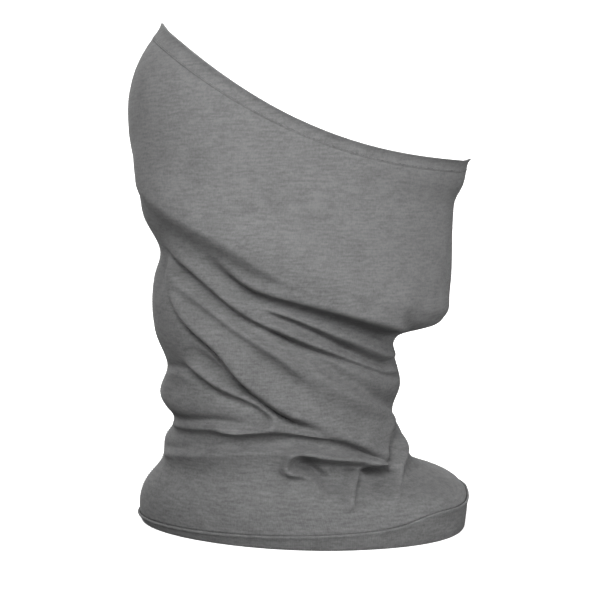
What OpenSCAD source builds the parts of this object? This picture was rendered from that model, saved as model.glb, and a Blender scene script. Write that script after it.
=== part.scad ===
// Neck gaiter in its worn shape: a knit tube over the lower face, the neck and the shoulders.
// +Z is up and +X points towards the nose. The origin is the middle of the object's box, on the
// plane of the bottom hem. All sizes are in millimetres.

/* [Whole object] */
// Depth from the back of the head to the nose
head_depth = 221; // [205:1:235]
// Height of the rim at the back of the head
rim_back_height = 326; // [310:1:340]
// Height of the rim at the nose
rim_nose_height = 235; // [228:1:245]

/* [Bottom opening] */
// Length of the bottom opening, back to front
hem_length = 215; // [205:1:220]
// Width of the bottom opening at its middle
hem_width = 162; // [156:1:170]
// Height of the bottom hem band
hem_height = 14; // [10:1:16]

/* [Neck] */
// Distance from the origin to the front of the neck
neck_front = 62; // [56:1:68]
// Distance from the origin to the back of the neck
neck_back = 90; // [84:1:94]
// Width of the neck
neck_width = 141; // [132:1:142]

/* [Face] */
// Height of the face section's lower edge at the chin
chin_height = 126; // [122:1:130]
// Height of the face section's lower edge at the nape
nape_height = 221; // [214:1:226]
// Width of the face section
face_width = 154; // [152:1:162]

/* [Fabric] */
// Thickness of the stand-in walls
wall = 2.4; // [2:0.2:2.6]
// Height of the turned edge round the face opening
rim_hem_height = 8; // [6:1:10]
// Width of the back seam
seam_width = 5; // [4:1:8]
// Height that threads stand proud of the fabric
thread_proud = 0.6; // [0.4:0.1:0.7]

/* [Hidden] */

columns = 48;
half_depth = head_depth / 2;
tuck = 5;              // how far the neck section reaches up inside the face section
thread_gap = 0.1;      // keeps the hem threads just clear of the fabric
seam_gap = 0.4;        // keeps the seam strip clear of the facets under it
hem_gap = 0.2;         // keeps the turned edge clear of the face section below it
overlock_height = 4;
hem_egg = 0.17;        // broader in front
hem_middle = 2;        // the bottom opening sits a little forward of the origin

// Side-view profiles: [height, x] pairs of the plain stand-in.
neck_back_line = [[hem_height, hem_middle - hem_length / 2], [36, 3 - neck_back - 6], [60, 3 - neck_back],
                  [110, -neck_back], [165, -neck_back - 3], [226, -neck_back - 5]];
neck_front_line = [[hem_height, hem_middle + hem_length / 2], [22, 100], [30, 86], [34, neck_front + 12],
                   [50, neck_front + 5], [75, neck_front], [98, neck_front], [112, neck_front + 7],
                   [chin_height + 3, half_depth - 24]];
face_back_line = [[120, 6 - half_depth], [221, 6 - half_depth], [236, 2 - half_depth], [252, -half_depth],
                  [276, -half_depth], [298, 5 - half_depth], [rim_back_height, 22 - half_depth]];
face_front_line = [[chin_height, half_depth - 17], [chin_height + 7, half_depth - 15], [160, half_depth - 12],
                   [200, half_depth - 10], [220, half_depth - 5], [rim_nose_height, half_depth]];

// Half widths and egg factors: [height, value] pairs. A negative factor is narrower in front.
neck_half_width = [[hem_height, hem_width / 2], [30, hem_width / 2 - 2], [45, neck_width / 2 + 3],
                   [70, neck_width / 2]];
neck_egg = [[hem_height, hem_egg], [45, 0.05], [80, -0.05], [130, -0.12]];
face_half_width = [[chin_height, face_width / 2 - 2], [175, face_width / 2 - 1],
                   [250, face_width / 2], [rim_back_height, face_width / 2 - 7]];
face_egg = [[chin_height, -0.12], [180, -0.22], [rim_nose_height, -0.28], [rim_back_height, -0.1]];

// Share of the way from the front (0) to the back (1) for a column at angle a.
function backness(a) = (1 - cos(a)) / 2;
function rim_height(a) = rim_nose_height + (rim_back_height - rim_nose_height) * pow(backness(a), 2.3);
function jaw_height(a) = chin_height + (nape_height - chin_height) * backness(a);
function mix(low, high, t) = low + (high - low) * t;

// A point of an egg-shaped ring, moved outwards by out.
function egg_point(a, z, back_x, front_x, half_w, egg, out) = [
    (back_x + front_x) / 2 + ((front_x - back_x) / 2 + out) * cos(a),
    (half_w + out) * sin(a) * (1 + egg * cos(a)),
    z];
function neck_point(a, z, out) = egg_point(a, z, lookup(z, neck_back_line), lookup(z, neck_front_line),
    lookup(z, neck_half_width), lookup(z, neck_egg), out);
function face_point(a, z, out) = egg_point(a, z, lookup(z, face_back_line), lookup(z, face_front_line),
    lookup(z, face_half_width), lookup(z, face_egg), out);
function hem_outline(out) = [for (i = [0:columns - 1]) let (p = egg_point(360 * i / columns, 0,
    hem_middle - hem_length / 2, hem_middle + hem_length / 2, hem_width / 2, hem_egg, out)) [p.x, p.y]];

// A closed tube wall: rings is a list of equal rings that runs up the outside and down the inside.
module tube_wall(rings) {
    n = len(rings);
    m = len(rings[0]);
    points = [for (ring = rings) each ring];
    faces = [for (i = [0:n - 1], j = [0:m - 1]) let (i2 = (i + 1) % n, j2 = (j + 1) % m)
        each [[i * m + j, i2 * m + j, i2 * m + j2], [i * m + j, i2 * m + j2, i * m + j2]]];
    polyhedron(points, faces);
}

// A closed strip: sections is a list of equal closed outlines, capped at both ends.
module strip(sections) {
    n = len(sections);
    m = len(sections[0]);
    points = [for (section = sections) each section];
    sides = [for (i = [0:n - 2], j = [0:m - 1]) let (j2 = (j + 1) % m)
        each [[i * m + j, (i + 1) * m + j, (i + 1) * m + j2], [i * m + j, (i + 1) * m + j2, i * m + j2]]];
    first = [for (j = [0:m - 1]) j];
    last = [for (j = [m - 1:-1:0]) (n - 1) * m + j];
    polyhedron(points, concat(sides, [first, last]));
}

// Rings of the face between two height functions given as shares of the jaw-to-rim distance.
function face_ring(share, drop, out) = [for (i = [0:columns - 1]) let (a = 360 * i / columns)
    face_point(a, mix(jaw_height(a), rim_height(a) - drop, share), out)];
function neck_ring(share, out) = [for (i = [0:columns - 1]) let (a = 360 * i / columns)
    neck_point(a, mix(hem_height, jaw_height(a) + tuck, share), out)];

module face_section() {
    rows = 9;
    color("gray")
        tube_wall(concat(
            [for (i = [0:rows]) face_ring(i / rows, rim_hem_height + hem_gap, 0)],
            [for (i = [rows:-1:0]) face_ring(i / rows, rim_hem_height + hem_gap, -wall)]));
}

module top_hem() {
    curl = 1;
    color("darkgray")
        tube_wall([face_ring(1, rim_hem_height, 0), face_ring(1, rim_hem_height / 2, curl / 2),
                   face_ring(1, 0, curl), face_ring(1, 0, -wall), face_ring(1, rim_hem_height, -wall)]);
}

module top_hem_stitching() {
    thread_height = 0.8;
    low = 2 * thread_gap;
    high = low + thread_proud;
    drop = rim_hem_height + 1.2;
    color("dimgray")
        tube_wall([face_ring(1, drop, high), face_ring(1, drop - thread_height, high),
                   face_ring(1, drop - thread_height, low), face_ring(1, drop, low)]);
}

module neck_section() {
    rows = 16;
    bias = 1.5;        // closer rows low down, where the skirt bends
    color("gray")
        tube_wall(concat(
            [for (i = [0:rows]) neck_ring(pow(i / rows, bias), 0)],
            [for (i = [rows:-1:0]) neck_ring(pow(i / rows, bias), -wall)]));
}

module bottom_hem() {
    color("darkgray")
        linear_extrude(hem_height)
            difference() {
                polygon(hem_outline(0));
                polygon(hem_outline(-wall));
            }
}

module bottom_hem_overlock() {
    outside = -wall - thread_gap;
    color("dimgray")
        translate([0, 0, hem_height - overlock_height])
            linear_extrude(overlock_height)
                difference() {
                    polygon(hem_outline(outside));
                    polygon(hem_outline(outside - thread_proud));
                }
}

// Cross-section of the seam at height z: point is face_point or neck_point.
function seam_section(z, point) =
    let (a = asin(seam_width / face_width), low = seam_gap, high = seam_gap + thread_proud)
    [point(180 - a, z, low), point(180 + a, z, low), point(180 + a, z, high), point(180 - a, z, high)];

module back_seam_upper() {
    steps = 12;
    top = rim_back_height - rim_hem_height - 2;
    color("dimgray")
        strip([for (i = [0:steps]) seam_section(mix(nape_height, top, i / steps),
                                                function(a, z, out) face_point(a, z, out))]);
}

module back_seam_lower() {
    steps = 16;
    color("dimgray")
        strip([for (i = [0:steps]) seam_section(mix(hem_height, nape_height + tuck, i / steps),
                                                function(a, z, out) neck_point(a, z, out))]);
}

face_section();
top_hem();
top_hem_stitching();
back_seam_upper();
neck_section();
bottom_hem();
bottom_hem_overlock();
back_seam_lower();
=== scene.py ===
"""Neck gaiter in its worn shape: one knit tube with a face section, a gathered neck and a flared skirt."""
import math

import bpy
import numpy as np
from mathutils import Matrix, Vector


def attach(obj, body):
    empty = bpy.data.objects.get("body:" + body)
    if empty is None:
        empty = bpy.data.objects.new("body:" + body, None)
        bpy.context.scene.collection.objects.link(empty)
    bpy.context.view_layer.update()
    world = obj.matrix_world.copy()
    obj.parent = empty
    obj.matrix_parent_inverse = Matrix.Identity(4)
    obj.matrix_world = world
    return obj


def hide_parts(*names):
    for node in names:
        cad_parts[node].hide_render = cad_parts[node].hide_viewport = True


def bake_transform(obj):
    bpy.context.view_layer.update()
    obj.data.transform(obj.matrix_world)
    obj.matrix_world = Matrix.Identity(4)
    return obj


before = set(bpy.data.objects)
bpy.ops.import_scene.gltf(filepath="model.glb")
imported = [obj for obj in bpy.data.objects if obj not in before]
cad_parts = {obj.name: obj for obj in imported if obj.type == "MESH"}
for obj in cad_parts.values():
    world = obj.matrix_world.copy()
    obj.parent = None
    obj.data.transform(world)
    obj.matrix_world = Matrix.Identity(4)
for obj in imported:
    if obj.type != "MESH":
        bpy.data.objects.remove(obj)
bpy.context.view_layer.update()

MM = 0.001


# ---------------------------------------------------------------- small maths

def smoothstep(low, high, value):
    """0 at low, 1 at high and a smooth step between; high may be the smaller of the two."""
    t = np.clip((value - low) / (high - low), 0.0, 1.0)
    return t * t * (3.0 - 2.0 * t)


def bell(distance, width):
    """1 at no distance, and near 0 at twice the width."""
    return np.exp(-(distance / width) ** 2)


def smooth_curve(knots, values, at):
    """Cubic curve through (knots, values), with finite-difference slopes; flat past the ends."""
    knots = np.asarray(knots, float)
    values = np.asarray(values, float)
    slopes = np.gradient(values, knots)
    at = np.clip(at, knots[0], knots[-1])
    i = np.clip(np.searchsorted(knots, at, side="right") - 1, 0, len(knots) - 2)
    h = knots[i + 1] - knots[i]
    t = (at - knots[i]) / h
    return ((2 * t ** 3 - 3 * t ** 2 + 1) * values[i] + (t ** 3 - 2 * t ** 2 + t) * h * slopes[i]
            + (3 * t ** 2 - 2 * t ** 3) * values[i + 1] + (t ** 3 - t ** 2) * h * slopes[i + 1])


# ---------------------------------------------------------------- the worn shape
# The tube is a stack of rings from the bottom crease to the rim. Heights and half widths are in mm.
# A ring's number is its level, and levels between two rings are fractions. Angle 0 is the front.
RINGS = [  # front height, back height, half width, egg (negative is narrower in front), sag of the sides
    (20, 5, 86.0, 0.14, 0.42),
    (25, 18, 84.0, 0.13, 0.65),
    (30.5, 31, 80.0, 0.10, 0.9),
    (35.5, 42, 75.5, 0.05, 1.0),
    (47, 60, 72.5, 0.00, 1.0),
    (70, 87, 71.0, -0.03, 1.0),
    (95, 122, 71.0, -0.05, 1.0),
    (114, 158, 71.5, -0.07, 1.1),
    (124, 190, 73.0, -0.09, 1.2),
    (131.5, 216, 75.5, -0.12, 1.34),
    (142, 232, 76.5, -0.13, 1.5),
    (170, 256, 77.0, -0.15, 1.8),
    (198, 282, 77.5, -0.18, 2.0),
    (215, 298, 77.5, -0.20, 2.25),
    (234, 320, 77.0, -0.22, 2.35),
]
TOP_LEVEL = len(RINGS) - 1.0
TUBE_TOP = 13.82          # level of the tube's own edge, inside the turned rim
ROWS_PER_RING = [6, 7, 9, 15, 19, 20, 20, 18, 15, 11, 7, 5, 4, 5]
COLUMNS = 300
SMOOTHING_PASSES = 2
KNIT_THICKNESS = 1.1      # in mm
FLAT_WIDTH = 0.48         # size of the flat cut, in metres
# Side-view outlines, as (height, x) in mm: bulges and notches where the folds reach the outline.
BACK_LINE = [(5, -106), (14, -106), (24, -103), (40, -91), (56, -88), (63, -83), (84, -92), (100, -87),
             (125, -95), (160, -95), (175, -91), (200, -102), (222, -105), (256, -111), (280, -110),
             (305, -100), (320, -87)]
FRONT_LINE = [(20, 109), (24, 105), (32, 88), (36, 79), (45, 71), (57, 67), (70, 61), (90, 66), (110, 62),
              (118, 62), (122, 66), (128, 88), (134, 95), (150, 98), (200, 100), (210, 101), (218, 106),
              (234, 109)]
# The same outlines without the bulges, for the cloth between the two.
BACK_PLAIN = [(5, -106), (32, -98), (63, -87), (166, -93), (240, -109), (320, -87)]
FRONT_PLAIN = [(20, 109), (36, 78), (70, 62.5), (114, 64), (142, 96), (234, 108)]
SKIRT_SQUARENESS = 0.22   # how square the skirt is in plan at the front, where it spreads over the chest
CREASE_LIFT = 4.5         # how far the bottom crease rises beside the front, in mm
BACK_TIP = 2.5            # upturned tips of the rim, in mm
NOSE_TIP = 2.0


def outline(line, height):
    """x of a side-view outline at a height, in mm."""
    return smooth_curve(*np.array(line, float).T, height)


def ring_points(level, angle):
    """Point of the smooth worn shape, without its folds, at a level and angle, in mm."""
    table = np.array(RINGS, float).T
    numbers = np.arange(len(RINGS))
    front_z, back_z, half, egg, sag = [smooth_curve(numbers, row, level) for row in table]
    backness = (1.0 - np.cos(angle)) / 2.0
    # the bulges of one outline fade out before they reach the other
    front_x = outline(FRONT_PLAIN, front_z)
    front_x = front_x + (outline(FRONT_LINE, front_z) - front_x) * smoothstep(0.75, 0.1, backness)
    back_x = outline(BACK_PLAIN, back_z)
    back_x = back_x + (outline(BACK_LINE, back_z) - back_x) * smoothstep(0.25, 0.9, backness)
    x = (front_x + back_x) / 2.0 + (front_x - back_x) / 2.0 * np.cos(angle)
    square = SKIRT_SQUARENESS * smoothstep(3.2, 0.5, level) * smoothstep(0.5, 0.0, backness)
    sine = np.sin(angle)
    y = half * np.sign(sine) * np.abs(sine) ** (1.0 - square) * (1.0 + egg * np.cos(angle))
    z = front_z + (back_z - front_z) * np.maximum(backness, 1e-9) ** sag
    z += CREASE_LIFT * smoothstep(2.2, 0.2, level) * bell(backness - 0.12, 0.09)
    tips = BACK_TIP * bell(1.0 - backness, 0.02) + NOSE_TIP * bell(backness, 0.02)
    z += smoothstep(TOP_LEVEL - 1.0, TOP_LEVEL, level) * tips
    return np.stack([x, y, z], axis=-1)


class Fold:
    """A fold of the gathered cloth, along a line in the side view (x, z in mm).

    The cloth stands out by height on the line, or is a hollow where height is negative. It falls away
    over body on the line's left and over under on its right, where a crease runs beside it. hang is how
    far the lip reaches over the crease, edge is an extra narrow bead along the lip, fade is how gently
    the two ends die away, and shift moves the whole fold to the line's left.
    """

    POINTS_PER_KNOT = 12
    BEAD_OFFSET = 0.4         # mm
    BEAD_WIDTH = 2.2          # mm
    CREASE_OFFSET = 1.5       # in widths of the right-hand side
    OUTLINE_FADE = (0.06, 0.42)    # folds die away towards the front and back outlines

    def __init__(self, side, line, height, body, under, crease, hang=0.0, edge=0.0, fade=(8, 8), shift=0.0):
        knots = np.array(line, float)
        lengths = np.append(0.0, np.cumsum(np.linalg.norm(np.diff(knots, axis=0), axis=1)))
        fine = np.linspace(0.0, lengths[-1], self.POINTS_PER_KNOT * len(knots))
        self.points = np.stack([smooth_curve(lengths, knots[:, 0], fine),
                                smooth_curve(lengths, knots[:, 1], fine)], axis=-1)
        self.along = fine
        self.side = side
        self.height, self.body, self.under, self.crease = height, body, under, crease
        self.hang, self.edge, self.fade = hang, edge, fade
        self.shift = shift + hang

    def shape(self, x, z, sideways):
        """Outward push, and slip towards the crease (two components), at each point."""
        best = np.full(x.shape, 1e9)
        signed = np.zeros(x.shape)
        place = np.zeros(x.shape)
        normal_x = np.zeros(x.shape)
        normal_z = np.zeros(x.shape)
        for i in range(len(self.points) - 1):
            (x0, z0), (x1, z1) = self.points[i], self.points[i + 1]
            dx, dz = x1 - x0, z1 - z0
            length = math.hypot(dx, dz)
            t = np.clip(((x - x0) * dx + (z - z0) * dz) / length ** 2, 0.0, 1.0)
            away = np.hypot(x - x0 - t * dx, z - z0 - t * dz)
            nearer = away < best
            left = ((z - z0) * dx - (x - x0) * dz) / length
            best = np.where(nearer, away, best)
            signed = np.where(nearer, np.where(left >= 0, away, -away), signed)
            place = np.where(nearer, self.along[i] + t * length, place)
            normal_x = np.where(nearer, -dz / length, normal_x)
            normal_z = np.where(nearer, dx / length, normal_z)
        signed = signed - self.shift
        ends = (smoothstep(0.0, self.fade[0], place)
                * smoothstep(self.along[-1], self.along[-1] - self.fade[1], place)
                * smoothstep(*self.OUTLINE_FADE, self.side * sideways))
        width = np.where(signed > 0, self.body, self.under)
        push = (self.height * bell(signed, width)
                + self.edge * bell(signed - self.BEAD_OFFSET, self.BEAD_WIDTH)
                - self.crease * bell(signed + self.CREASE_OFFSET * self.under, self.under))
        lip_width = 0.45 * self.body + 1.5
        slip = -self.hang * bell(signed, lip_width) * ends
        return push * ends, slip * normal_x, slip * normal_z


NEAR = -1     # the side at negative y
FAR = 1
FOLDS = [
    # near side, from the top down: the lower edge of the face section, along the jaw
    Fold(NEAR, [(-118, 233), (-85, 205), (-40, 179), (-10, 160), (30, 145), (66, 128)],
         height=4.0, body=16, under=9.0, crease=3.0, hang=1.0, edge=0.6, fade=(14, 10)),
    # the lip under the jaw, over a long dark gap
    Fold(NEAR, [(-62, 178), (-30, 156), (0, 147), (30, 138), (68, 124)],
         height=2.8, body=4.0, under=4.2, crease=6.0, hang=3.0, edge=1.4, fade=(44, 8), shift=0.5),
    # under the chin, ending in a deep pocket
    Fold(NEAR, [(-34, 146), (-5, 137), (25, 123), (60, 106)],
         height=4.0, body=7, under=3.4, crease=7.5, hang=3.0, edge=0.8, fade=(26, 4), shift=1.5),
    # the hollow of that pocket
    Fold(NEAR, [(18, 124), (40, 112), (62, 102)],
         height=-3.5, body=4, under=4, crease=0, fade=(14, 4)),
    # thin crease from the nape to the throat
    Fold(NEAR, [(-92, 181), (-75, 170), (-35, 139), (0, 122), (35, 108), (66, 94)],
         height=3.5, body=8, under=2.4, crease=4.0, hang=2.5, edge=1.0, fade=(22, 8), shift=2.2),
    # narrow ridge across the middle
    Fold(NEAR, [(12, 94), (-10, 113), (-40, 134), (-65, 154), (-84, 172)],
         height=2.0, body=4.0, under=2.6, crease=3.0, edge=2.6, fade=(24, 16)),
    # upper edge of the broad fold, facing the throat
    Fold(NEAR, [(66, 66), (40, 85), (10, 105), (-27, 132)],
         height=4.5, body=9, under=5.0, crease=4.0, hang=1.0, edge=0.8, fade=(8, 16), shift=1.0),
    # the strongest fold, from the nape down to the front of the neck, and its soft tail
    Fold(NEAR, [(-87, 180), (-85, 160), (-75, 138), (-50, 114), (-38, 99), (-20, 85), (24, 65)],
         height=5.0, body=10, under=3.0, crease=6.0, hang=3.5, edge=1.0, fade=(34, 46), shift=2.5),
    Fold(NEAR, [(-24, 88), (0, 75), (30, 63), (56, 46)],
         height=3.5, body=8, under=2.0, crease=2.0, hang=1.5, edge=0.4, fade=(26, 6), shift=1.5),
    # hollows beside it: a wedge below its middle, and one at the nape
    Fold(NEAR, [(-70, 122), (-50, 106), (-27, 90)],
         height=-4.0, body=3.6, under=3.6, crease=0, fade=(16, 10)),
    Fold(NEAR, [(-90, 172), (-85, 152), (-79, 141)],
         height=-2.0, body=4.0, under=5.0, crease=0, fade=(14, 14)),
    # rim of the lower back pocket: along its top, round its tip and back along the bottom
    Fold(NEAR, [(-74, 112), (-50, 96), (-22, 84), (-15, 77), (-25, 71), (-55, 70), (-88, 65)],
         height=2.5, body=3.5, under=2.6, crease=4.0, edge=2.2, fade=(12, 6)),
    # small crease at the back, over the pocket's bulge
    Fold(NEAR, [(-62, 99), (-78, 101), (-92, 96)],
         height=2.0, body=6, under=2.0, crease=2.5, edge=0.4, fade=(10, 4)),
    # lip over the gap above the skirt
    Fold(NEAR, [(-52, 65), (-30, 69), (5, 67), (30, 61), (56, 43)],
         height=3.0, body=3.4, under=4.4, crease=5.5, hang=2.5, edge=1.6, fade=(18, 6), shift=0.5),
    # top edge of the skirt
    Fold(NEAR, [(12, 57), (-25, 58), (-60, 54), (-91, 47)],
         height=2.5, body=7, under=2.2, crease=2.4, edge=1.2, fade=(20, 6), shift=0.8),
    # front pocket: its rim, lower arm first, then the deep hollow inside and its run down the skirt
    Fold(NEAR, [(19, 27), (6, 42), (-8, 48), (-5, 55), (15, 53), (60, 44)],
         height=2.6, body=4.2, under=3.2, crease=6.5, edge=4.6, fade=(14, 3)),
    Fold(NEAR, [(-4, 49), (20, 42), (46, 43)],
         height=-7.5, body=4.2, under=8.0, crease=0, fade=(8, 6)),
    Fold(NEAR, [(17, 42), (23, 34), (27, 24)],
         height=-3.5, body=5.5, under=5.0, crease=0, fade=(8, 10)),
    # two short pleats that fan down onto the skirt from the pinch, and the hollow between them
    Fold(NEAR, [(29, 22), (34, 38), (45, 45), (58, 45)],
         height=6.5, body=4.5, under=3.0, crease=4.5, edge=2.4, fade=(7, 8)),
    Fold(NEAR, [(67, 60), (58, 43), (51, 24)],
         height=6.0, body=6, under=3.4, crease=5.0, edge=2.0, fade=(3, 9), shift=1.0),
    Fold(NEAR, [(58, 50), (50, 39), (43, 26)],
         height=-6.0, body=4.5, under=4.5, crease=0, fade=(4, 10)),
    # far side, from the top down: the jaw's lower edge, the lip under it, and softer folds below
    Fold(FAR, [(-118, 232), (-100, 216), (-70, 198), (-40, 178), (-10, 160), (25, 147), (50, 137), (66, 129)],
         height=4.5, body=16, under=4.5, crease=4.0, hang=1.0, edge=0.4, fade=(14, 16)),
    Fold(FAR, [(-90, 196), (-66, 180), (-38, 162), (-10, 148), (20, 140), (45, 134), (70, 128)],
         height=3.5, body=6, under=3.6, crease=5.5, hang=2.0, edge=0.8, fade=(16, 12), shift=0.5),
    Fold(FAR, [(-96, 176), (-66, 160), (-40, 144), (-15, 128), (10, 116), (35, 107), (66, 98)],
         height=3.5, body=8, under=3.0, crease=4.5, hang=2.0, edge=0.8, fade=(16, 12), shift=2.0),
    Fold(FAR, [(-66, 148), (-40, 130), (-14, 110), (14, 94), (40, 83), (66, 74)],
         height=3.0, body=5, under=3.5, crease=3.5, hang=1.0, edge=1.4, fade=(24, 10)),
    Fold(FAR, [(-92, 142), (-74, 127), (-54, 110), (-30, 92), (-8, 79), (20, 66), (60, 48)],
         height=4.5, body=10, under=3.4, crease=5.0, hang=2.5, edge=1.0, fade=(16, 14), shift=2.5),
    Fold(FAR, [(-90, 66), (-60, 71), (-34, 68), (-6, 60), (26, 51), (54, 44)],
         height=3.0, body=5, under=3.4, crease=4.5, hang=2.0, edge=1.0, fade=(12, 16), shift=0.5),
    Fold(FAR, [(66, 54), (58, 45), (50, 36), (46, 24)],
         height=2.5, body=5, under=3.2, crease=3.0, edge=0.8, fade=(8, 10)),
]


SIDE_LEAN = 1.15          # the tube is longer than wide, so its sides face sideways more than a circle's


def outward_direction(angle):
    """Level unit direction away from the tube's middle."""
    direction = np.stack([np.cos(angle), SIDE_LEAN * np.sin(angle)], axis=-1)
    return direction / np.linalg.norm(direction, axis=-1, keepdims=True)


def folded(points, angle):
    """Move the smooth shape's points by all the folds."""
    x, z = points[..., 0], points[..., 2]
    sideways = np.sin(angle)
    outward = outward_direction(angle)
    moved = points.copy()
    for fold in FOLDS:
        push, slip_x, slip_z = fold.shape(x, z, sideways)
        moved[..., 0] += push * outward[..., 0] + slip_x * np.abs(sideways)
        moved[..., 1] += push * outward[..., 1]
        moved[..., 2] += slip_z
    return moved


# ---------------------------------------------------------------- mesh helpers

def new_object(name, verts, faces, uvs=None):
    mesh = bpy.data.meshes.new(name)
    mesh.from_pydata([tuple(v) for v in verts], [], faces)
    mesh.update()
    if uvs is not None:
        add_uvs(mesh, np.asarray(uvs, float))
    mesh.polygons.foreach_set("use_smooth", [True] * len(mesh.polygons))
    obj = bpy.data.objects.new(name, mesh)
    bpy.context.scene.collection.objects.link(obj)
    return obj


def add_uvs(mesh, uvs):
    """UVs in metres of flat cloth. Quads that close the ring get the full width, not zero."""
    layer = mesh.uv_layers.new(name="knit")
    index = np.zeros(len(mesh.loops), dtype=np.int32)
    mesh.loops.foreach_get("vertex_index", index)
    corner = uvs[index].reshape(-1, 4, 2)
    closing = np.ptp(corner[:, :, 0], axis=1) > FLAT_WIDTH / 2.0
    wrapped = corner[:, :, 0] < FLAT_WIDTH / 2.0
    corner[:, :, 0] += FLAT_WIDTH * (closing[:, None] & wrapped)
    layer.data.foreach_set("uv", corner.ravel())


def cloth_around(angle):
    """Distance round the flat cloth from the back seam, in metres."""
    return np.mod(angle / (2.0 * math.pi) + 0.5, 1.0) * FLAT_WIDTH


def grid_faces(rows, columns, closed_rows=False):
    """Quads of a grid whose columns close on themselves, and whose rows may too."""
    faces = []
    last = rows if closed_rows else rows - 1
    for i in range(last):
        low, high = i * columns, ((i + 1) % rows) * columns
        for j in range(columns):
            k = (j + 1) % columns
            faces.append((low + j, low + k, high + k, high + j))
    return faces


def surface(level, angle, out=0.0):
    """Point of the folded cloth's outer face in metres, moved outwards by out mm."""
    level, angle = np.broadcast_arrays(np.asarray(level, float), np.asarray(angle, float))
    points = folded(ring_points(level, angle), angle)
    outward = outward_direction(angle)
    out = np.broadcast_to(out, level.shape)
    points[..., 0] += out * outward[..., 0]
    points[..., 1] += out * outward[..., 1]
    return points * MM


def column_angles():
    return np.arange(COLUMNS) * 2.0 * math.pi / COLUMNS


def tube_levels():
    """Levels of the tube's rows of points, closer where the folds are."""
    parts = [np.linspace(i, i + 1, n, endpoint=False) for i, n in enumerate(ROWS_PER_RING)]
    level = np.append(np.concatenate(parts), TOP_LEVEL)
    return level * TUBE_TOP / TOP_LEVEL


def relaxed(points, passes):
    """Round the sharpest lips, as the cloth's stiffness does. The first and last rows stay."""
    for _ in range(passes):
        across = (np.roll(points, 1, axis=1) + np.roll(points, -1, axis=1)) / 2.0
        along = points.copy()
        along[1:-1] = (points[2:] + points[:-2]) / 2.0
        free = np.zeros(points.shape)
        free[1:-1] = 0.5
        points = points + free * ((across + along) / 2.0 - points)
    return points


def make_tube():
    level = tube_levels()
    grid_level, grid_angle = np.meshgrid(level, column_angles(), indexing="ij")
    points = relaxed(surface(grid_level, grid_angle), SMOOTHING_PASSES)
    along = np.zeros(grid_level.shape)
    along[1:] = np.cumsum(np.linalg.norm(np.diff(points, axis=0), axis=-1), axis=0)
    uvs = np.stack([cloth_around(grid_angle), along], axis=-1).reshape(-1, 2)
    tube = new_object("knit_tube", points.reshape(-1, 3), grid_faces(len(level), COLUMNS), uvs)
    thicken(tube, KNIT_THICKNESS * MM)
    return tube


def thicken(obj, thickness):
    modifier = obj.modifiers.new("thickness", "SOLIDIFY")
    modifier.thickness = thickness
    modifier.offset = -1.0
    apply_modifiers(obj)


def apply_modifiers(obj):
    graph = bpy.context.evaluated_depsgraph_get()
    mesh = bpy.data.meshes.new_from_object(obj.evaluated_get(graph))
    obj.modifiers.clear()
    obj.data = mesh


def swept_ring(name, sections):
    """A closed ring: sections holds one row of points all round the ring per cross-section point."""
    count, columns = sections.shape[:2]
    along = np.zeros((count, columns))
    along[1:] = np.cumsum(np.linalg.norm(np.diff(sections, axis=0), axis=-1), axis=0)
    around = np.broadcast_to(cloth_around(column_angles()), along.shape)
    uvs = np.stack([around, along], axis=-1).reshape(-1, 2)
    faces = grid_faces(count, columns, closed_rows=True)
    return new_object(name, sections.reshape(-1, 3), faces, uvs)


# ---------------------------------------------------------------- the hems and their threads
# Cross-sections of the two hems: they run up the outside, round the edge and down the inside.
RIM_SECTION = [  # level, outward mm
    (13.600, -0.10), (13.601, 0.02), (13.630, 0.10), (13.68, 0.16), (13.76, 0.26), (13.83, 0.50),
    (13.90, 1.00), (13.955, 1.70), (13.990, 2.20), (14.010, 2.15), (14.018, 1.7), (14.005, 0.9),
    (13.97, 0.1), (13.90, -0.9), (13.80, -1.6), (13.70, -2.1), (13.605, -2.3), (13.598, -1.9),
    (13.602, -1.35), (13.70, -1.3), (13.84, -0.9), (13.88, -0.5), (13.84, -0.25), (13.72, -0.2),
]


def make_rim_hem():
    angle = column_angles()
    rows = [surface(np.full(COLUMNS, level), angle, out) for level, out in RIM_SECTION]
    return swept_ring("rim_hem", np.array(rows))


HEM_SECTION = [  # share of the crease height, added mm, outward mm
    (1.0, -0.5, 0.10), (1.0, 0.55, 0.35), (1.0, 0.75, 0.85), (1.0, 0.35, 1.35), (1.0, -0.5, 1.45),
    (0.92, -0.6, 1.05), (0.75, 0, 0.8), (0.5, 0, 0.7), (0.25, 0.6, 0.6), (0.0, 0.7, 0.4), (0.0, 0.2, 0.1),
    (0.0, 0.0, -0.6), (0.0, 0.0, -1.6), (0.0, 0.5, -2.2), (0.25, 0.9, -2.4), (0.5, 0.5, -2.6),
    (1.0, 0.0, -3.0), (1.0, 1.6, -4.2), (1.0, 1.9, -3.6), (1.0, 0.6, -2.2), (1.0, -1.2, -1.6),
]
HEM_TUCK = 1.5            # how far the hem's lower edge pulls in under the crease, in mm


def make_hem_band():
    angle = column_angles()
    crease = surface(np.zeros(COLUMNS), angle)
    rows = []
    for share, added, out in HEM_SECTION:
        row = surface(np.zeros(COLUMNS), angle, out - HEM_TUCK * (1.0 - share))
        row[:, 2] = crease[:, 2] * share + added * MM
        rows.append(row)
    return swept_ring("hem_band", np.array(rows))


THREAD_STATIONS = [(0.0, 0.45), (0.18, 0.95), (0.5, 1.1), (0.82, 0.95), (1.0, 0.45)]  # place, thickness


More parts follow.
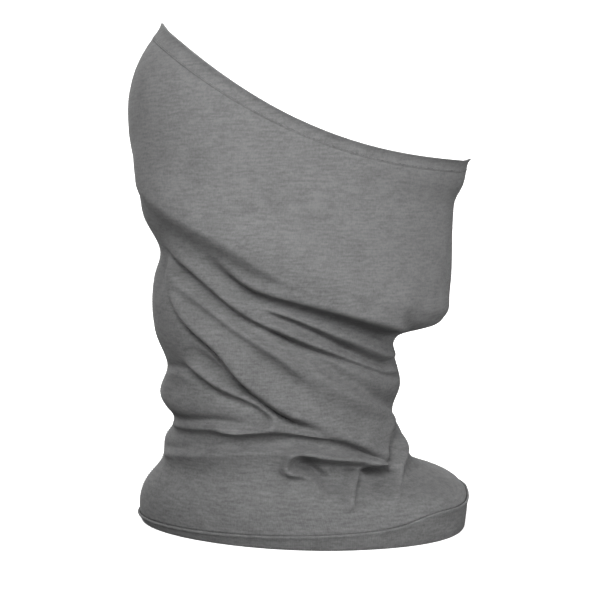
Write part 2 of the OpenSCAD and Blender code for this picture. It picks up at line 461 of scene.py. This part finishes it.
def thread_mesh(pieces, radius, sides=6):
    """Many short threads with narrowed ends in one mesh. Each piece is (start, end, up), in metres."""
    verts, faces = [], []
    for start, end, up in pieces:
        start, end = np.array(start), np.array(end)
        axis = end - start
        axis = axis / max(np.linalg.norm(axis), 1e-9)
        side = np.cross(axis, up)
        side = side / max(np.linalg.norm(side), 1e-9)
        top = np.cross(side, axis)
        base = len(verts)
        for share, size in THREAD_STATIONS:
            centre = start + (end - start) * share
            for k in range(sides):
                turn = 2.0 * math.pi * k / sides
                verts.append(centre + radius * size * (math.cos(turn) * side + math.sin(turn) * top))
        last = base + (len(THREAD_STATIONS) - 1) * sides
        for ring in range(len(THREAD_STATIONS) - 1):
            for k in range(sides):
                a = base + ring * sides + k
                b = base + ring * sides + (k + 1) % sides
                faces.append((a, b, b + sides, a + sides))
        faces.append(tuple(base + k for k in reversed(range(sides))))
        faces.append(tuple(last + k for k in range(sides)))
    return verts, faces


def even_angles(level, spacing):
    """Angles of points spaced evenly (mm) round the ring at a level."""
    angle = np.linspace(0.0, 2.0 * math.pi, 721)
    points = surface(level, angle)
    length = np.append(0.0, np.cumsum(np.linalg.norm(np.diff(points, axis=0), axis=-1)))
    count = int(length[-1] / (spacing * MM))
    return np.interp(np.arange(count) * length[-1] / count, length, angle)


def angle_steps(angle):
    """Angle from each point of a ring to the next, back round to the first."""
    return np.diff(np.append(angle, angle[0] + 2.0 * math.pi))


STITCH_LEVEL = 13.66
STITCH_PITCH = 3.2        # mm
STITCH_SHARE = 0.72       # how much of the pitch shows thread
STITCH_OUT = 0.20         # mm


def make_rim_stitching():
    """One row of short lockstitches just above the turned rim's lower edge."""
    angle = even_angles(STITCH_LEVEL, STITCH_PITCH)
    start = surface(STITCH_LEVEL, angle, STITCH_OUT)
    end = surface(STITCH_LEVEL, angle + STITCH_SHARE * angle_steps(angle), STITCH_OUT)
    up = outward_direction(angle)
    pieces = [(a, b, (n[0], n[1], 0.0)) for a, b, n in zip(start, end, up)]
    return new_object("rim_stitching", *thread_mesh(pieces, 0.22 * MM))


SEAM_HALF_WIDTH = 0.026   # radians round the tube
SEAM_LEVELS = (0.12, 13.55)
SEAM_PITCH = 1.7          # mm
SEAM_OUT = 0.15           # mm


def make_back_seam():
    """A flatlock seam up the middle of the back: short bars side by side."""
    level = np.linspace(*SEAM_LEVELS, 2600)
    middle = surface(level, math.pi)
    length = np.append(0.0, np.cumsum(np.linalg.norm(np.diff(middle, axis=0), axis=-1)))
    count = int(length[-1] / (SEAM_PITCH * MM))
    bars = np.interp(np.arange(count) * length[-1] / count, length, level)
    tilt = 0.5 * (bars[1] - bars[0])
    left = surface(bars, math.pi - SEAM_HALF_WIDTH, SEAM_OUT)
    right = surface(bars + tilt, math.pi + SEAM_HALF_WIDTH, SEAM_OUT)
    pieces = [(a, b, (-1.0, 0.0, 0.0)) for a, b in zip(left, right)]
    return new_object("back_seam", *thread_mesh(pieces, 0.42 * MM))


OVERLOCK_PITCH = 2.6      # mm
OVERLOCK_LOW = (-3.3, -2.0)     # outward and up from the crease, in mm: the loops' feet
OVERLOCK_HIGH = (-4.3, 1.4)     # the loops' tops


def make_overlock():
    """Overlock loops over the hem band's upper edge, on the inside."""
    angle = even_angles(0.0, OVERLOCK_PITCH)
    step = angle_steps(angle)
    low = surface(0.0, angle, OVERLOCK_LOW[0])
    high = surface(0.0, angle + 0.5 * step, OVERLOCK_HIGH[0])
    next_low = surface(0.0, angle + step, OVERLOCK_LOW[0])
    low[:, 2] += OVERLOCK_LOW[1] * MM
    next_low[:, 2] += OVERLOCK_LOW[1] * MM
    high[:, 2] += OVERLOCK_HIGH[1] * MM
    pieces = []
    for a, b, c, turn in zip(low, high, next_low, angle):
        up = (-math.cos(turn), -math.sin(turn), 0.0)
        pieces.append((a, b, up))
        pieces.append((b, c, up))
    return new_object("hem_overlock", *thread_mesh(pieces, 0.3 * MM, 5))


# ---------------------------------------------------------------- materials

WALE = 0.00095            # width of one column of knit stitches
COURSE = 0.00075          # height of one row
DARK_YARN = 0.096         # greys of the two yarns
LIGHT_YARN = 0.180
COOLNESS = (1.0, 1.002, 1.006)      # red, green and blue: the greys are a touch blue
JAW_SLOPE = 0.445         # fall of the face section's lower edge towards the chin
PAINTED_LIGHT_START = 0.150     # heights over that slope where the painted light on the face section begins and is full, and how much lighter it paints; the neck below stays in painted shade
PAINTED_LIGHT_END = 0.178
PAINTED_LIGHT_GAIN = 0.10


class Nodes:
    """Small helpers to build a node tree."""

    def __init__(self, name):
        self.material = bpy.data.materials.new(name)
        self.material.use_nodes = True
        self.nodes = self.material.node_tree.nodes
        self.links = self.material.node_tree.links
        self.shader = self.nodes["Principled BSDF"]

    def feed(self, socket, value):
        if isinstance(value, bpy.types.NodeSocket):
            self.links.new(value, socket)
        else:
            socket.default_value = value

    def math(self, operation, *values):
        node = self.nodes.new("ShaderNodeMath")
        node.operation = operation
        for socket, value in zip(node.inputs, values):
            self.feed(socket, value)
        return node.outputs[0]

    def place(self):
        return self.nodes.new("ShaderNodeTexCoord").outputs["Object"]

    def cloth_place(self):
        node = self.nodes.new("ShaderNodeUVMap")
        node.uv_map = "knit"
        return node.outputs["UV"]

    def noise(self, place, scale, detail=2.0, rescale=(1, 1, 1)):
        mapping = self.nodes.new("ShaderNodeMapping")
        mapping.inputs["Scale"].default_value = rescale
        self.links.new(place, mapping.inputs["Vector"])
        node = self.nodes.new("ShaderNodeTexNoise")
        node.inputs["Scale"].default_value = scale
        node.inputs["Detail"].default_value = detail
        self.links.new(mapping.outputs["Vector"], node.inputs["Vector"])
        return node.outputs["Fac"]

    def ramp(self, value, stops):
        node = self.nodes.new("ShaderNodeValToRGB")
        elements = node.color_ramp.elements
        for element, (position, grey) in zip(elements, stops):
            element.position = position
            element.color = (*[grey * tint for tint in COOLNESS], 1)
        self.links.new(value, node.inputs["Fac"])
        return node.outputs["Color"]

    def bump(self, height, strength, distance):
        node = self.nodes.new("ShaderNodeBump")
        node.inputs["Strength"].default_value = strength
        node.inputs["Distance"].default_value = distance
        self.links.new(height, node.inputs["Height"])
        self.links.new(node.outputs["Normal"], self.shader.inputs["Normal"])

    def matt(self, roughness, sheen):
        self.shader.inputs["Specular IOR Level"].default_value = 0.10
        self.shader.inputs["Sheen Weight"].default_value = sheen
        self.shader.inputs["Sheen Roughness"].default_value = 0.5
        self.feed(self.shader.inputs["Roughness"], roughness)


def knit_material(name):
    """Heather jersey: columns of V-shaped stitches, mottled yarn, streaks along the rows, matt fibres."""
    n = Nodes(name)
    place = n.place()
    cloth = n.cloth_place()
    split = n.nodes.new("ShaderNodeSeparateXYZ")
    n.links.new(cloth, split.inputs[0])
    column = n.math("PINGPONG", n.math("DIVIDE", split.outputs[0], WALE), 0.5)
    slanted = n.math("ADD", n.math("DIVIDE", split.outputs[1], COURSE), column)
    row = n.math("PINGPONG", slanted, 0.5)
    stitch = n.math("MULTIPLY", n.math("ADD", column, 0.25), n.math("ADD", row, 0.25))

    yarn = n.noise(place, 430, 3.0, (0.32, 0.32, 1.7))
    speck = n.noise(place, 700, 2.0)
    cloud = n.noise(place, 60, 3.0)
    mottle = n.math("ADD", n.math("MULTIPLY", yarn, 0.45), n.math("MULTIPLY", speck, 0.35))
    mottle = n.math("ADD", mottle, n.math("MULTIPLY", cloud, 0.20))
    # painted light and shade: above the jaw line the face section is painted lighter, so the gathered neck
    # below it looks darker, as if shaded by the face section
    spot = n.nodes.new("ShaderNodeSeparateXYZ")
    n.links.new(place, spot.inputs[0])
    above_jaw = n.math("ADD", spot.outputs[2], n.math("MULTIPLY", spot.outputs[0], JAW_SLOPE))
    # mask of the painted light: 0 on the neck below the jaw line, 1 on the face section
    rescale = n.nodes.new("ShaderNodeMapRange")
    rescale.inputs["From Min"].default_value = PAINTED_LIGHT_START
    rescale.inputs["From Max"].default_value = PAINTED_LIGHT_END
    n.links.new(above_jaw, rescale.inputs["Value"])
    shade = n.math("ADD", mottle, n.math("MULTIPLY", stitch, 0.08))
    shade = n.math("ADD", shade, n.math("MULTIPLY", rescale.outputs[0], PAINTED_LIGHT_GAIN))
    color = n.ramp(shade, [(0.38, DARK_YARN), (0.74, LIGHT_YARN)])
    n.links.new(color, n.shader.inputs["Base Color"])

    fuzz = n.noise(place, 2600, 2.0)
    height = n.math("ADD", stitch, n.math("MULTIPLY", fuzz, 0.35))
    height = n.math("ADD", height, n.math("MULTIPLY", mottle, 0.5))
    n.bump(height, 0.45, 0.00025)
    n.matt(n.math("ADD", n.math("MULTIPLY", fuzz, 0.12), 0.84), 0.08)
    return n.material


def thread_material(name):
    """Spun polyester thread: fine twist and a little shade variation."""
    n = Nodes(name)
    place = n.place()
    shade = n.noise(place, 900, 2.0)
    twist = n.noise(place, 3800, 3.0)
    color = n.ramp(shade, [(0.35, DARK_YARN * 0.92), (0.65, LIGHT_YARN * 0.98)])
    n.links.new(color, n.shader.inputs["Base Color"])
    n.bump(twist, 0.5, 0.00012)
    n.matt(n.math("ADD", n.math("MULTIPLY", twist, 0.2), 0.6), 0.1)
    return n.material


def paper_material(name):
    """Pale paper that glows a little, so that it stays white from every side."""
    n = Nodes(name)
    n.shader.inputs["Base Color"].default_value = (0.93, 0.93, 0.93, 1)
    n.shader.inputs["Roughness"].default_value = 0.9
    n.shader.inputs["Emission Color"].default_value = (1, 1, 1, 1)
    n.shader.inputs["Emission Strength"].default_value = 0.7
    return n.material


# ---------------------------------------------------------------- camera, floor and light

CAMERA_DISTANCE = 0.80
CAMERA_ELEVATION = math.radians(4.0)
AIM_HEIGHT = 0.144
FRAME_WIDTH = 0.3942        # how much the frame takes in at the object's middle
SENSOR = 36.0


def make_camera():
    data = bpy.data.cameras.new("camera")
    data.sensor_width = SENSOR
    data.lens = SENSOR * CAMERA_DISTANCE / FRAME_WIDTH
    camera = bpy.data.objects.new("camera", data)
    bpy.context.scene.collection.objects.link(camera)
    camera.location = (0.0, -CAMERA_DISTANCE * math.cos(CAMERA_ELEVATION),
                       AIM_HEIGHT + CAMERA_DISTANCE * math.sin(CAMERA_ELEVATION))
    camera.rotation_euler = (math.pi / 2 - CAMERA_ELEVATION, 0.0, 0.0)
    bpy.context.scene.camera = camera


def area_light(name, location, target, size, power):
    data = bpy.data.lights.new(name, "AREA")
    data.shape = "SQUARE"
    data.size = size
    data.energy = power
    light = bpy.data.objects.new(name, data)
    bpy.context.scene.collection.objects.link(light)
    light.location = location
    direction = Vector(target) - Vector(location)
    light.rotation_euler = direction.to_track_quat("-Z", "Y").to_euler()


def make_backdrop():
    """A round floor that curves up into a wall on every side."""
    columns = 64
    middle = 0.6        # radius of the single flat face under the object
    reach = 2.6         # radius of the flat floor
    curve = 1.2         # radius of the bend up into the wall
    top = 5.0
    turns = np.linspace(0.0, math.pi / 2, 13)
    bend = [(reach + curve * math.sin(t), curve - curve * math.cos(t)) for t in turns]
    profile = [(middle, 0.0), *bend, (reach + curve, top)]
    around = [2 * math.pi * j / columns for j in range(columns)]
    verts = [(r * math.cos(a), r * math.sin(a), z) for r, z in profile for a in around]
    faces = []
    for i in range(len(profile) - 1):
        inner, outer = i * columns, (i + 1) * columns
        for j in range(columns):
            k = (j + 1) % columns
            faces.append((inner + j, outer + j, outer + k, inner + k))
    faces.append(tuple(range(columns)))
    backdrop = new_object("backdrop", verts, faces)
    backdrop.data.materials.append(paper_material("pale_paper"))
    backdrop.visible_diffuse = False        # the paper throws no light back up into the folds
    backdrop.visible_glossy = False


def make_lights():
    world = bpy.data.worlds.new("studio")
    world.use_nodes = True
    world.node_tree.nodes["Background"].inputs["Color"].default_value = (1, 1, 1, 1)
    world.node_tree.nodes["Background"].inputs["Strength"].default_value = 0.14
    bpy.context.scene.world = world
    bpy.context.scene.view_settings.view_transform = "Standard"
    # name, place, target, side of the square and watts
    area_light("key", (-0.22, -0.92, 0.72), (0, 0, 0.15), 0.50, 11.2)
    area_light("fill", (1.1, -1.1, 0.34), (0, 0, 0.18), 0.7, 16)
    area_light("back_fill", (-1.3, -1.0, 0.15), (0, 0, 0.16), 0.8, 5)
    area_light("paper", (0.0, 1.2, 2.6), (0, 3.2, 0.6), 2.5, 110)
    area_light("rear", (-0.7, 1.3, 0.5), (0, 0, 0.15), 0.8, 9)


make_camera()
make_backdrop()
make_lights()
knit = knit_material("heather_knit")
thread = thread_material("grey_thread")

tube = make_tube()
tube.data.materials.append(knit)
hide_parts("face_section", "neck_section")
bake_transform(tube)

rim_hem = make_rim_hem()
rim_hem.data.materials.append(knit)
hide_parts("top_hem")
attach(rim_hem, "face_cover")

rim_stitching = make_rim_stitching()
rim_stitching.data.materials.append(thread)
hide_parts("top_hem_stitching")
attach(rim_stitching, "face_cover")

hem_band = make_hem_band()
hem_band.data.materials.append(knit)
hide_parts("bottom_hem")
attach(hem_band, "neck_wrap")

overlock = make_overlock()
overlock.data.materials.append(thread)
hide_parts("bottom_hem_overlock")
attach(overlock, "neck_wrap")

back_seam = make_back_seam()
back_seam.data.materials.append(thread)
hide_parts("back_seam_upper", "back_seam_lower")
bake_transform(back_seam)
